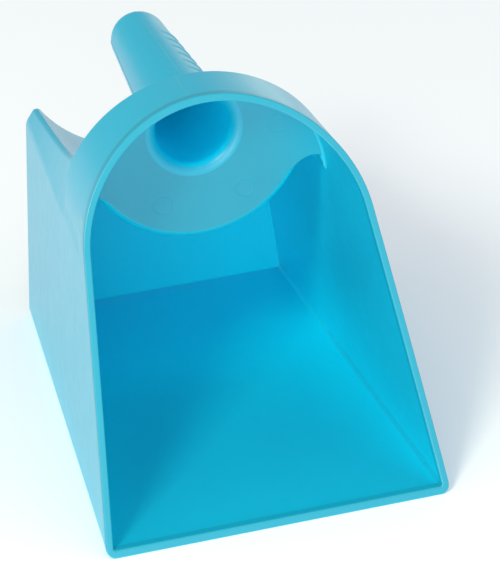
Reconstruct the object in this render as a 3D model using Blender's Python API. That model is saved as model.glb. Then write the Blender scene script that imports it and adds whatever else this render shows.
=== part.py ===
"""Feed scoop with a hood, a knuckle trough and a hollow handle, in moulded plastic.

The body is a drafted D section: flat side walls that lean in, closed by an elliptical arch.
The mouth leans back.  Behind a short hood, an upright plate carries the hollow handle, and
a conical trough round the handle gives the knuckles room.  Each region of the moulding,
bounded by its own creases, is a closed body, and neighbours are SEAM apart.

Scoop coordinates: X to the right, Y from the front lip to the rear wall, Z up from the floor.
"""

import math

import bmesh
import bpy
from mathutils import Vector

# Driving dimensions, in metres
LIP_WIDTH = 0.155
DEPTH = 0.234
SPRING_HEIGHT = 0.117  # where the flat sides turn into the arch
CREASE_HEIGHT = 0.1085  # top of the flat side walls, at the hood's rear edge
CROWN_HEIGHT = 0.1696  # top of the arch, at CROWN_DEPTH
CROWN_DEPTH = 0.0839
WALL = 0.0024
SEAM = 0.0003

CORNER_RADIUS = 0.0042  # outside radius along the bottom edges of the sides

RIM_THICKNESS = 0.0032
RIM_DEPTH = 0.0042
WALL_INSET = 0.0005  # the side walls lie this far inside the rim's outer face
HOOD_INSET = 0.0004
SHOULDER_INSET = 0.0008

HOOD_REAR = 0.1154
HANDLE_HEIGHT = 0.1403
TROUGH_FRONT_RADIUS = 0.0504
TROUGH_REAR_RADIUS = 0.0588

POCKET_FOOT = 0.1105  # height at which the plate's lower edge turns up into the pocket
POCKET_RISE = 0.0065  # and how far the pocket's top rises from there

HANDLE_ROOT_RADIUS = 0.0190
HANDLE_MOUTH_RADIUS = 0.0217
MOUTH_FILLET = 0.0046
DOME_START = 0.2205
DOME_LENGTH = 0.0118

# Slopes, as metres of change per metre
SIDE_TAPER = 0.0526  # half width lost towards the rear
SIDE_LEAN = 0.085  # half width lost towards the top
CREASE_FALL = 0.046  # height that the side walls lose towards the rear
SHOULDER_FRONT_LEAN = 0.32  # the shoulder's lean behind the hood
SHOULDER_REAR_LEAN = 0.75  # and at the rear wall
CROWN_FALL = 0.0656  # crown height lost towards the rear
HANDLE_TAPER = 0.0533  # handle radius lost towards the rear
MOUTH_SLOPE = 0.4394  # the mouth's lean
MOUTH_BEND = 0.342  # and its slight backward bend, per metre squared

# Facets
ARCH_STEPS = 40
SIDE_STEPS = 3
CORNER_STEPS = 4
POCKET_STEPS = 8
SHOULDER_STEPS = 5
TROUGH_STEPS = 32
DEPTH_ROWS = 12
TURN_STEPS = 48
FILLET_STEPS = 5
DOME_STEPS = 7

TEAL = (0.085, 0.50, 0.62, 1.0)
LIGHT_TEAL = (0.16, 0.58, 0.69, 1.0)
DEEP_TEAL = (0.02, 0.37, 0.58, 1.0)


def clear_scene():
    """Remove every object that the file opened with."""
    for item in list(bpy.data.objects):
        bpy.data.objects.remove(item, do_unlink=True)


def plastic(name, colour):
    """A semi-gloss moulded plastic."""
    material = bpy.data.materials.new(name)
    material.use_nodes = True
    shader = material.node_tree.nodes["Principled BSDF"]
    shader.inputs["Base Color"].default_value = colour
    shader.inputs["Roughness"].default_value = 0.35
    shader.inputs["Metallic"].default_value = 0.0
    return material


def finish(name, mesh_data, colour, smooth=True):
    """Turn a bmesh in scoop coordinates into a named object centred on the origin."""
    bmesh.ops.remove_doubles(mesh_data, verts=mesh_data.verts, dist=1e-6)
    bmesh.ops.recalc_face_normals(mesh_data, faces=mesh_data.faces)
    bmesh.ops.translate(mesh_data, verts=mesh_data.verts, vec=(0.0, -DEPTH / 2, 0.0))
    mesh = bpy.data.meshes.new(name)
    mesh_data.to_mesh(mesh)
    mesh_data.free()
    if smooth:
        mesh.shade_smooth()
        mesh.set_sharp_from_angle(angle=math.radians(30))
    item = bpy.data.objects.new(name, mesh)
    bpy.context.scene.collection.objects.link(item)
    item.data.materials.append(plastic(name, colour))
    return item


def slab(name, outer, inner, colour):
    """A closed sheet between two matching grids of points, each a list of rows."""
    data = bmesh.new()
    skins = [[[data.verts.new(p) for p in row] for row in grid] for grid in (outer, inner)]
    last_row = len(outer) - 1
    last_column = len(outer[0]) - 1
    for skin in skins:
        for i in range(last_row):
            for j in range(last_column):
                data.faces.new((skin[i][j], skin[i + 1][j], skin[i + 1][j + 1], skin[i][j + 1]))
    edge = [(i, 0) for i in range(last_row)]
    edge += [(last_row, j) for j in range(last_column)]
    edge += [(i, last_column) for i in range(last_row, 0, -1)]
    edge += [(0, j) for j in range(last_column, 0, -1)]
    for (a, b), (c, d) in zip(edge, edge[1:] + edge[:1]):
        data.faces.new((skins[0][a][b], skins[0][c][d], skins[1][c][d], skins[1][a][b]))
    return finish(name, data, colour)


def loft(name, outlines, colour):
    """A closed body through matching flat outlines, capped at both ends."""
    data = bmesh.new()
    rings = [[data.verts.new(p) for p in outline] for outline in outlines]
    count = len(rings[0])
    for near, far in zip(rings, rings[1:]):
        for k in range(count):
            n = (k + 1) % count
            data.faces.new((near[k], near[n], far[n], far[k]))
    data.faces.new(rings[0])
    data.faces.new(rings[-1])
    return finish(name, data, colour)


def turned(name, profile, closed, colour):
    """Turn a profile of (depth, radius) points about the handle's axis."""
    data = bmesh.new()
    verts = [data.verts.new((0.0, y, HANDLE_HEIGHT - r)) for y, r in profile]
    pairs = list(zip(verts, verts[1:]))
    if closed:
        pairs.append((verts[-1], verts[0]))
    edges = [data.edges.new(pair) for pair in pairs]
    bmesh.ops.spin(
        data,
        geom=verts + edges,
        cent=(0.0, 0.0, HANDLE_HEIGHT),
        axis=(0.0, 1.0, 0.0),
        angle=2 * math.pi,
        steps=TURN_STEPS,
        use_merge=True,
    )
    bmesh.ops.dissolve_degenerate(data, edges=data.edges, dist=1e-7)
    return finish(name, data, colour)


def mix(a, b, share):
    """The value a given share of the way from a to b."""
    return a + (b - a) * share


def flat_half_width(y, z):
    """Half the outer width of the leaning side walls, carried on above the spring."""
    return LIP_WIDTH / 2 - SIDE_TAPER * y - SIDE_LEAN * z


def crown(y):
    """Height of the arch's top at a depth."""
    return CROWN_HEIGHT - CROWN_FALL * (y - CROWN_DEPTH)


def mouth_depth(z):
    """How far back the mouth's edge lies at a height."""
    return MOUTH_SLOPE * z + MOUTH_BEND * z * z


def crease(y):
    """Height of the crease where a side wall turns into the hood or the shoulder."""
    return CREASE_HEIGHT - CREASE_FALL * (y - HOOD_REAR)


def hood_half_width(y, z):
    """Half the outer width of the arched section at a depth and a height."""
    width = flat_half_width(y, z)
    if z > SPRING_HEIGHT:
        rise = min(1.0, (z - SPRING_HEIGHT) / (crown(y) - SPRING_HEIGHT))
        width *= math.sqrt(1.0 - rise * rise)
    return width


def shoulder_half_width(y, z):
    """Half the outer width behind the hood, where the shoulders lean in above the crease."""
    share = (y - HOOD_REAR) / (DEPTH - HOOD_REAR)
    lean = mix(SHOULDER_FRONT_LEAN, SHOULDER_REAR_LEAN, share)
    above = max(0.0, z - crease(y))
    return flat_half_width(y, z - above) - lean * above


def inner_half_width(width_at, y, z, inset):
    """Half a section's width at a height, moved in by inset along its normal."""
    step = 1e-5
    slope = (width_at(y, z + step) - width_at(y, z - step)) / (2 * step)
    return width_at(y, z) - inset * math.hypot(1.0, slope)


def corner_stations(side):
    """Stations round a bottom corner, as shares of its quarter turn from the floor up."""
    return [("corner", side, k / CORNER_STEPS) for k in range(CORNER_STEPS)]


def section_stations(low):
    """Stations round the section: a height on a flat side, or an angle on the arch."""
    rise = [mix(low, SPRING_HEIGHT, k / SIDE_STEPS) for k in range(SIDE_STEPS)]
    left = [("side", -1, z) for z in rise]
    arch = [("arch", 0, math.pi * k / ARCH_STEPS) for k in range(ARCH_STEPS + 1)]
    right = [("side", 1, z) for z in reversed(rise)]
    return left + arch + right


def section_point(station, y, inset):
    """The point of the section at a station, moved in by inset along its normal."""
    kind, side, value = station
    if kind == "corner":
        turn = math.pi / 2 * value
        reach = CORNER_RADIUS - inset
        centre_x = flat_half_width(y, CORNER_RADIUS) - CORNER_RADIUS
        x = side * (centre_x + reach * math.sin(turn))
        return Vector((x, y, CORNER_RADIUS - reach * math.cos(turn)))
    if kind == "crease":
        value = crease(y)
    if kind in ("side", "crease"):
        normal = Vector((side, 0.0, SIDE_LEAN)).normalized()
        point = Vector((side * flat_half_width(y, value), y, value))
        return point - inset * normal
    height = crown(y) - SPRING_HEIGHT
    z = SPRING_HEIGHT + height * math.sin(value)
    width = flat_half_width(y, z)
    point = Vector((-width * math.cos(value), y, z))
    normal = Vector((-height * math.cos(value), 0.0, width * math.sin(value)))
    normal.z += SIDE_LEAN * height * math.cos(value) ** 2
    return point - inset * normal.normalized()


def section_point_on(station, depth_at, inset):
    """The section's point where its depth follows a rule of its height."""
    y = 0.0
    for _ in range(12):
        y = depth_at(section_point(station, y, 0.0).z)
    return section_point(station, y, inset)


def behind_rim(z):
    """Depth at which the walls start, behind the rim's bead."""
    return mouth_depth(z) + RIM_DEPTH + SEAM


def trough_radius(y):
    """Radius of the knuckle trough's upper face about the handle's axis."""
    share = (y - HOOD_REAR) / (DEPTH - HOOD_REAR)
    return mix(TROUGH_FRONT_RADIUS, TROUGH_REAR_RADIUS, share)


def trough_point(y, radius, angle):
    """A point on a circle about the handle's axis, the angle measured from straight down."""
    return Vector((radius * math.sin(angle), y, HANDLE_HEIGHT - radius * math.cos(angle)))


def trough_reach(width_at, y, radius, inset):
    """Angle at which a circle about the handle's axis meets the body's section."""
    low, high = 0.0, math.pi / 2
    for _ in range(40):
        angle = (low + high) / 2
        point = trough_point(y, radius, angle)
        if point.x < inner_half_width(width_at, y, point.z, inset):
            low = angle
        else:
            high = angle
    return low


def handle_radius(y):
    """Outer radius of the tapered handle."""
    return HANDLE_ROOT_RADIUS - HANDLE_TAPER * (y - HOOD_REAR)


def depth_rows(front, rear, count=DEPTH_ROWS):
    """Evenly spaced depths from front to rear."""
    return [mix(front, rear, k / count) for k in range(count + 1)]


def floor_edge(y):
    """Half the width of the flat floor between the bottom corners."""
    return flat_half_width(y, CORNER_RADIUS) - CORNER_RADIUS - SEAM


def make_front_lip():
    """The straight scraping edge across the bottom of the mouth."""
    top = RIM_THICKNESS
    section = [(0.0, 0.0), (RIM_DEPTH, 0.0), (mouth_depth(top) + RIM_DEPTH, top), (mouth_depth(top), top)]
    ends = [[(side * floor_edge(y), y, z) for y, z in section] for side in (-1, 1)]
    return loft("front_lip", ends, LIGHT_TEAL)


def make_mouth_rim():
    """The bead round the bottom corners, the sides and the arch of the mouth."""
    stations = corner_stations(-1) + section_stations(CORNER_RADIUS) + corner_stations(1)[::-1]
    depths = (mouth_depth, lambda z: mouth_depth(z) + RIM_DEPTH)
    outer = [[section_point_on(s, d, 0.0) for s in stations] for d in depths]
    inner = [[section_point_on(s, d, RIM_THICKNESS) for s in stations] for d in depths]
    return slab("mouth_rim", outer, inner, LIGHT_TEAL)


def make_side_wall(name, side):
    """A flat leaning wall with its bottom corner, up to the hood and the shoulder."""
    front_top = section_point_on(("crease", side, 0.0), behind_rim, 0.0)
    tops = (front_top.z, crease(DEPTH))
    skins = []
    for inset in (0.0, WALL):
        rows = []
        for station in corner_stations(side):
            front = section_point_on(station, behind_rim, 0.0).y
            rows.append([wall_point(station, y, inset) for y in (front, DEPTH)])
        for k in range(SIDE_STEPS + 1):
            low, high = (("side", side, mix(CORNER_RADIUS, top, k / SIDE_STEPS)) for top in tops)
            front = wall_point(low, behind_rim(low[2]), inset)
            rows.append([front, wall_point(high, DEPTH, inset)])
        skins.append(rows)
    return slab(name, skins[0], skins[1], TEAL)


def wall_point(station, y, inset):
    """A point of a side wall: WALL_INSET inside the rim's face, and down on the ground."""
    point = section_point(station, y, inset)
    share = station[2] if station[0] == "corner" else 1.0
    point.x -= station[1] * WALL_INSET * share
    return point


def make_floor():
    """The flat bottom, between the side walls and ahead of the rear wall."""
    skins = []
    for z in (0.0, WALL):
        ends = (behind_rim(z), DEPTH - WALL - SEAM)
        skins.append([[(side * floor_edge(y), y, z) for side in (-1, 1)] for y in ends])
    return slab("floor_panel", skins[0], skins[1], TEAL)


def make_rear_wall():
    """The upright rear wall, hollowed at its top by the knuckle trough."""
    upper_inset = SHOULDER_INSET + WALL + SEAM
    outlines = []
    for y in (DEPTH - WALL, DEPTH):
        radius = trough_radius(y) + WALL + SEAM
        reach = trough_reach(shoulder_half_width, y, radius, upper_inset)
        angles = [mix(-reach, reach, k / TROUGH_STEPS) for k in range(TROUGH_STEPS + 1)]
        top = [trough_point(y, radius, angle) for angle in angles]
        right = []
        for z in (crease(y) + SEAM, crease(y) - SEAM):
            right.append((inner_half_width(shoulder_half_width, y, z, upper_inset), y, z))
        corner = [wall_point(station, y, WALL + SEAM) for station in corner_stations(1)]
        right += [tuple(point) for point in reversed(corner)]
        right += [(floor_edge(y), y, WALL + SEAM), (floor_edge(y), y, 0.0)]
        left = [(-x, depth, z) for x, depth, z in reversed(right)]
        outlines.append(top + right + left)
    return loft("rear_wall", outlines, TEAL)


def make_hood():
    """The short arched band between the mouth and the handle plate."""
    front_low = section_point_on(("crease", 1, 0.0), behind_rim, 0.0).z + SEAM
    rear_low = crease(HOOD_REAR) + SEAM
    skins = []
    for inset in (HOOD_INSET, HOOD_INSET + WALL):
        front = [section_point_on(s, behind_rim, inset) for s in section_stations(front_low)]
        rear = [section_point(s, HOOD_REAR, inset) for s in section_stations(rear_low)]
        skins.append([front, rear])
    return slab("hood_band", skins[0], skins[1], TEAL)


def make_handle_plate():
    """The upright plate that closes the hood and carries the handle."""
    inset = HOOD_INSET + WALL + SEAM
    outlines = []
    for y in (HOOD_REAR - WALL, HOOD_REAR):
        radius = TROUGH_FRONT_RADIUS + WALL
        reach = math.acos((HANDLE_HEIGHT - POCKET_FOOT) / radius)
        angles = [mix(-reach, reach, k / TROUGH_STEPS) for k in range(TROUGH_STEPS + 1)]
        lower = [trough_point(y, radius, angle) for angle in angles]
        pocket = pocket_arch(y, lower[-1].x, inner_half_width(hood_half_width, y, POCKET_FOOT, inset))
        upper = [section_point(s, y, inset) for s in reversed(section_stations(POCKET_FOOT))]
        mirrored = [Vector((-p.x, p.y, p.z)) for p in reversed(pocket)]
        outlines.append(lower + pocket + upper + mirrored)
    plate = loft("handle_plate", outlines, LIGHT_TEAL)
    bore_plate(plate)
    return plate


def pocket_arch(y, near, far):
    """The plate's edge over a shoulder's pocket, between the trough and the side."""
    points = []
    for k in range(1, POCKET_STEPS):
        turn = math.pi * k / POCKET_STEPS
        x = mix(near, far, (1.0 - math.cos(turn)) / 2)
        points.append(Vector((x, y, POCKET_FOOT + POCKET_RISE * math.sin(turn))))
    return points


def bore_plate(plate):
    """Cut the handle's seat through the plate."""
    bpy.ops.mesh.primitive_cylinder_add(
        vertices=TURN_STEPS,
        radius=mouth_outer_radius() + SEAM,
        depth=6 * WALL,
        location=(0.0, HOOD_REAR - WALL / 2 - DEPTH / 2, HANDLE_HEIGHT),
        rotation=(math.pi / 2, 0.0, 0.0),
    )
    cutter = bpy.context.object
    cutter.name = "seat_cutter"
    cutter.hide_render = True
    cutter.display_type = "WIRE"
    cut = plate.modifiers.new("Seat", "BOOLEAN")
    cut.operation = "DIFFERENCE"
    cut.solver = "EXACT"
    cut.object = cutter


def mouth_outer_radius():
    """Outer radius of the handle's mouth, where it sits in the plate."""
    return HANDLE_MOUTH_RADIUS + 0.0010


def make_trough():
    """The conical trough in the roof, under and beside the handle."""
    skins = []
    for extra in (0.0, WALL):
        rows = []
        for y in depth_rows(HOOD_REAR + SEAM, DEPTH):
            radius = trough_radius(y) + extra
            reach = trough_reach(shoulder_half_width, y, radius, SHOULDER_INSET + WALL + SEAM)
            angles = [mix(-reach, reach, k / TROUGH_STEPS) for k in range(TROUGH_STEPS + 1)]
            rows.append([trough_point(y, radius, angle) for angle in angles])
        skins.append(rows)
    return slab("knuckle_trough", skins[0], skins[1], TEAL)


def make_shoulder(name, side):
    """The ear beside the trough, from the side wall up to its ridge."""
    skins = []
    for inset in (SHOULDER_INSET, SHOULDER_INSET + WALL):
        rows = []
        for y in depth_rows(HOOD_REAR + SEAM, DEPTH):
            reach = trough_reach(shoulder_half_width, y, trough_radius(y), inset)
            ridge = trough_point(y, trough_radius(y), reach)
            rows.append([])
            for k in range(SHOULDER_STEPS + 1):
                z = mix(crease(y) + SEAM, ridge.z, k / SHOULDER_STEPS)
                x = inner_half_width(shoulder_half_width, y, z, inset)
                rows[-1].append((side * x, y, z))
        skins.append(rows)
    return slab(name, skins[0], skins[1], TEAL)


def make_handle_grip():
    """The hollow tapered handle, with its bell mouth seated in the plate."""
    front = HOOD_REAR - WALL
    bore_start = front + MOUTH_FILLET
    profile = []
    for k in range(FILLET_STEPS + 1):
        turn = math.pi / 2 * k / FILLET_STEPS
        radius = HANDLE_MOUTH_RADIUS - MOUTH_FILLET * math.sin(turn)
        profile.append((front + MOUTH_FILLET * (1.0 - math.cos(turn)), radius))
    profile.append((DOME_START, handle_radius(DOME_START) - WALL))
    profile.append((DOME_START, handle_radius(DOME_START)))
    profile.append((bore_start + MOUTH_FILLET / 2, handle_radius(bore_start + MOUTH_FILLET / 2)))
    profile.append((bore_start - WALL / 4, handle_radius(HOOD_REAR) + 0.0008))
    profile.append((HOOD_REAR + SEAM, mouth_outer_radius()))
    profile.append((front, mouth_outer_radius()))
    return turned("handle_grip", profile, True, TEAL)


def dome_profile(start, radius, length):
    """A rounded end, from its edge to the axis."""
    power = 2 / 2.6
    points = []
    for k in range(DOME_STEPS + 1):
        turn = math.pi / 2 * k / DOME_STEPS
        reach = start + length * math.sin(turn) ** power
        points.append((reach, radius * max(0.0, math.cos(turn)) ** power))
    points[-1] = (start + length, 0.0)
    return points


def make_handle_end():
    """The rounded end that closes the handle."""
    start = DOME_START + SEAM
    outer = dome_profile(start, handle_radius(start), DOME_LENGTH)
    inner = dome_profile(start, handle_radius(start) - WALL, DOME_LENGTH - WALL)
    return turned("handle_end", outer + inner[::-1], True, LIGHT_TEAL)


def main():
    """Build the scoop, one named body for each region of the moulding."""
    clear_scene()
    make_front_lip()
    make_mouth_rim()
    make_floor()
    make_side_wall("left_side_wall", -1)
    make_side_wall("right_side_wall", 1)
    make_rear_wall()
    make_hood()
    make_handle_plate()
    make_trough()
    make_shoulder("left_shoulder", -1)
    make_shoulder("right_shoulder", 1)
    make_handle_grip()
    make_handle_end()


main()
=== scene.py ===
"""A one-piece moulded feed scoop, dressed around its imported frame.

The scoop is one injection moulding in turquoise polypropylene.  Each class below builds the
visible skin of one group of its regions, where the frame's solids say, with the rounded
edges, parting lines and ejector marks that the moulding has.

Scoop coordinates: X to the right, Y from the front lip to the rear wall, Z up from the
ground, in metres.  Meshes are moved to the frame's own origin when they are finished.
"""

from __future__ import annotations

import logging
import math
from dataclasses import dataclass, replace
from enum import Enum
from typing import Callable, Iterable, Sequence

import bmesh
import bpy
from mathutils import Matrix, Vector
from mathutils.geometry import tessellate_polygon


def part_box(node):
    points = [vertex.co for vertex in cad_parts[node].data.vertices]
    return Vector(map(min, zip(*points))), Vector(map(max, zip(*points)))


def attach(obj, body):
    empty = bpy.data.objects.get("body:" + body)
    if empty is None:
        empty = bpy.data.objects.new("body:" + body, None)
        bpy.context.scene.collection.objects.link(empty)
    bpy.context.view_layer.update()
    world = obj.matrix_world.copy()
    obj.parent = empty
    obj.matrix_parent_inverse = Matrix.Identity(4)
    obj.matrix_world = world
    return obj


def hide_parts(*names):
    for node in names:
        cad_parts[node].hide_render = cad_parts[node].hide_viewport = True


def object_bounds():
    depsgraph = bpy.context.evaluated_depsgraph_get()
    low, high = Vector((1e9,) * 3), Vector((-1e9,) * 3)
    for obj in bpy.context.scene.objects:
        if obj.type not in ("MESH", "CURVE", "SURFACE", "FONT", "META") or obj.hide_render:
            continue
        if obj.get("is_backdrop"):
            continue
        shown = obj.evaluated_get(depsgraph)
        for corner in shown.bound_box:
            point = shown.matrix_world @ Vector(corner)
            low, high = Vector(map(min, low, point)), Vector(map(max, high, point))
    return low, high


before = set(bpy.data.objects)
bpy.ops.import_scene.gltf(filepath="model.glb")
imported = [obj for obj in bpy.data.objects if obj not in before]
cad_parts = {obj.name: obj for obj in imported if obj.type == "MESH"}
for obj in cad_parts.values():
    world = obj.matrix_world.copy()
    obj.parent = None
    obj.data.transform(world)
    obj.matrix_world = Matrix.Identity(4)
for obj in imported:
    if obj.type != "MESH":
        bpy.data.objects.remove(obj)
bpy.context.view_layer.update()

logging.basicConfig(level=logging.INFO, format="%(levelname)s %(name)s: %(message)s")
log = logging.getLogger("feed_scoop")

MM = 0.001
Grid = Sequence[Sequence[Vector]]

# How finely each part of the section is divided, where neighbours share an edge
FLOOR_STEPS = 24
CORNER_STEPS = 9
SIDE_STEPS = 14
ARCH_STEPS = 120
PAN_STEPS = 12  # along the scoop, from the hood to the rear wall
HOOD_STEPS = 10  # along the scoop, under the hood
ROUND_STEPS = 7  # round a rounded edge

LEAD = 0.02  # the sliver rows that keep the shading true beside a rounded edge
EDGE_CREASE = 50.0  # degrees; the band's and shoulders' gentle folds stay smooth


# ---------------------------------------------------------------- colour and finishes


def srgb(code: str) -> tuple[float, float, float, float]:
    """Turn an sRGB hex code into a linear colour.

    Args:
        code: Six hexadecimal digits, with or without a leading hash.

    Returns:
        The linear red, green, blue and an alpha of 1.
    """
    digits = code.lstrip("#")
    channels = [int(digits[k : k + 2], 16) / 255 for k in (0, 2, 4)]
    linear = [c / 12.92 if c <= 0.04045 else ((c + 0.055) / 1.055) ** 2.4 for c in channels]
    return (*linear, 1.0)


class MouldFace(Enum):
    """Which part of the mould gave a surface its finish.

    The front face is the bead round the mouth and the plate behind it, which face the user;
    their colour is a darker copy of the shell's, painted shade.
    """

    SHELL = "shell"
    SHADED_FRONT = "front"
    HANDLE = "handle"


@dataclass(frozen=True)
class Polypropylene:
    """Injection-moulded polypropylene, self-coloured turquoise.

    The resin is slightly translucent, and light that has bounced or leaked through its walls
    turns bluer. That light is painted into the colour: hollows and corners are painted a
    brighter, deeper blue than open faces, a painted glow.

    Attributes:
        face: The part of the mould that the surface came from.
        open_hex: Colour of an open, well-lit face.
        painted_glow_hex: Painted glow in hollows, for light that travelled inside the resin.
        roughness: Microscopic roughness of the polished steel's print.
        grain_mm: Width of the fine spark-eroded grain.
        grain_depth_mm: Height of that grain.
        wave_mm: Length of the slow sink and flow waves.
        wave_depth_mm: Height of those waves.
        hollow_reach_mm: How far off another wall still makes a surface part of a hollow.
        glow_below: Share of open sky below which the colour is all painted glow.
        open_above: Share of open sky above which it is all open.
        ior: Index of refraction.
    """

    face: MouldFace
    open_hex: str
    painted_glow_hex: str
    roughness: float
    grain_mm: float
    grain_depth_mm: float
    wave_mm: float
    wave_depth_mm: float
    hollow_reach_mm: float = 110.0
    glow_below: float = 0.28
    open_above: float = 0.66
    ior: float = 1.49

    def build(self) -> bpy.types.Material:
        """Make the material's nodes.

        Returns:
            The finished material.
        """
        material = bpy.data.materials.new(f"moulded_polypropylene_{self.face.value}")
        material.use_nodes = True
        tree = material.node_tree
        tree.nodes.clear()
        output = add_node(tree, "ShaderNodeOutputMaterial")
        shader = add_node(tree, "ShaderNodeBsdfPrincipled", {"IOR": self.ior, "Metallic": 0.0})
        tree.links.new(shader.outputs["BSDF"], output.inputs["Surface"])
        place = add_node(tree, "ShaderNodeTexCoord").outputs["Object"]

        # Painted glow: hollows are painted a brighter, bluer colour, standing in for
        # light that leaks through the resin's walls.
        hollow = add_node(
            tree,
            "ShaderNodeAmbientOcclusion",
            {"Distance": self.hollow_reach_mm * MM},
            samples=12,
        )
        openness = add_node(
            tree,
            "ShaderNodeMapRange",
            {
                "From Min": self.glow_below,
                "From Max": self.open_above,
                "Value": hollow.outputs["AO"],
            },
            interpolation_type="SMOOTHSTEP",
        )
        glow_tone = add_node(
            tree,
            "ShaderNodeMix",
            {
                "A": srgb(self.painted_glow_hex),
                "B": srgb(self.open_hex),
                "Factor": openness.outputs["Result"],
            },
            data_type="RGBA",
        )

        # Masterbatch pigment never mixes perfectly: a faint cloudiness, centimetres wide.
        cloud = add_node(
            tree,
            "ShaderNodeTexNoise",
            {"Vector": place, "Scale": 1 / (28 * MM), "Detail": 2.0, "Roughness": 0.5},
        )
        cloudiness = add_node(
            tree,
            "ShaderNodeMapRange",
            {"Value": cloud.outputs["Fac"], "To Min": 0.975, "To Max": 1.02},
        )
        clouded = add_node(
            tree,
            "ShaderNodeHueSaturation",
            {"Color": glow_tone.outputs["Result"], "Value": cloudiness.outputs["Result"]},
        )
        tree.links.new(clouded.outputs["Color"], shader.inputs["Base Color"])

        # Handling polishes the grain unevenly.
        rub = add_node(
            tree,
            "ShaderNodeTexNoise",
            {"Vector": place, "Scale": 1 / (9 * MM), "Detail": 3.0, "Roughness": 0.6},
        )
        rubbed = add_node(
            tree,
            "ShaderNodeMapRange",
            {
                "Value": rub.outputs["Fac"],
                "To Min": self.roughness - 0.05,
                "To Max": self.roughness + 0.06,
            },
        )
        tree.links.new(rubbed.outputs["Result"], shader.inputs["Roughness"])

        # Sink and flow waves bend broad reflections; the grain breaks up sharp ones.
        wave = add_node(
            tree,
            "ShaderNodeTexNoise",
            {"Vector": place, "Scale": 1 / (self.wave_mm * MM), "Detail": 1.0},
        )
        swell = add_node(
            tree,
            "ShaderNodeBump",
            {"Height": wave.outputs["Fac"], "Distance": self.wave_depth_mm * MM, "Strength": 1.0},
        )
        grain = add_node(
            tree,
            "ShaderNodeTexNoise",
            {"Vector": place, "Scale": 1 / (self.grain_mm * MM), "Detail": 2.0},
        )
        texture = add_node(
            tree,
            "ShaderNodeBump",
            {
                "Height": grain.outputs["Fac"],
                "Distance": self.grain_depth_mm * MM,
                "Strength": 1.0,
                "Normal": swell.outputs["Normal"],
            },
        )
        tree.links.new(texture.outputs["Normal"], shader.inputs["Normal"])
        return material


def add_node(
    tree: bpy.types.NodeTree, kind: str, inputs: dict | None = None, **settings
) -> bpy.types.Node:
    """Add a node, its settings, and its inputs' values or links.

    Args:
        tree: The node tree to add to.
        kind: The node's type name.
        inputs: Input name to a value, or to the output socket to link from.
        **settings: The node's own properties, such as data_type.

    Returns:
        The new node.
    """
    node = tree.nodes.new(kind)
    for name, value in settings.items():
        setattr(node, name, value)
    for name, value in (inputs or {}).items():
        found = [s for s in node.inputs if s.name == name and s.enabled]
        socket = found[0] if found else node.inputs[name]
        if isinstance(value, bpy.types.NodeSocket):
            tree.links.new(value, socket)
        else:
            socket.default_value = value
    return node


# ---------------------------------------------------------------- small geometry


def mix(a: float, b: float, share: float) -> float:
    """The value a given share of the way from a to b."""
    return a + (b - a) * share


def smooth(share: float) -> float:
    """Ease a share from 0 to 1, flat at both ends."""
    t = min(1.0, max(0.0, share))
    return t * t * (3.0 - 2.0 * t)


def steps(count: int, lead: float = 0.0) -> list[float]:
    """Shares from 0 to 1 in equal steps.

    Args:
        count: How many steps.
        lead: A first and last sliver this wide, which keeps the shading true at both ends.

    Returns:
        The shares, rising.
    """
    even = [k / count for k in range(count + 1)]
    return [0.0, lead, *even[1:-1], 1.0 - lead, 1.0] if lead else even


def heading(angle: float) -> Vector:
    """The unit direction in the section's plane at an angle above +X."""
    return Vector((math.cos(angle), 0.0, math.sin(angle)))


def quarter(count: int = ROUND_STEPS) -> list[float]:
    """Angles from 0 to a right angle, with sliver rows at both ends."""
    return [share * math.pi / 2 for share in steps(count, LEAD)]


def join_loops(
    data: bmesh.types.BMesh, near: Sequence[bmesh.types.BMVert], far: Sequence[bmesh.types.BMVert]
) -> None:
    """Close the wall between two matching loops of vertices.

    Args:
        data: The mesh to add the faces to.
        near: One loop.
        far: The other, with a vertex for each of the first's.
    """
    for k in range(len(near)):
        n = (k + 1) % len(near)
        data.faces.new((near[k], near[n], far[n], far[k]))


@dataclass(frozen=True)
class Station:
    """A place round the section of the body.

    Attributes:
        part: floor, corner, side, upper, arch, crease, shoulder, ridge or trough.
        hand: -1 on the left, 1 on the right, 0 across the middle.
        share: How far along that part, from 0 to 1.
    """

    part: str
    hand: int
    share: float


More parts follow.
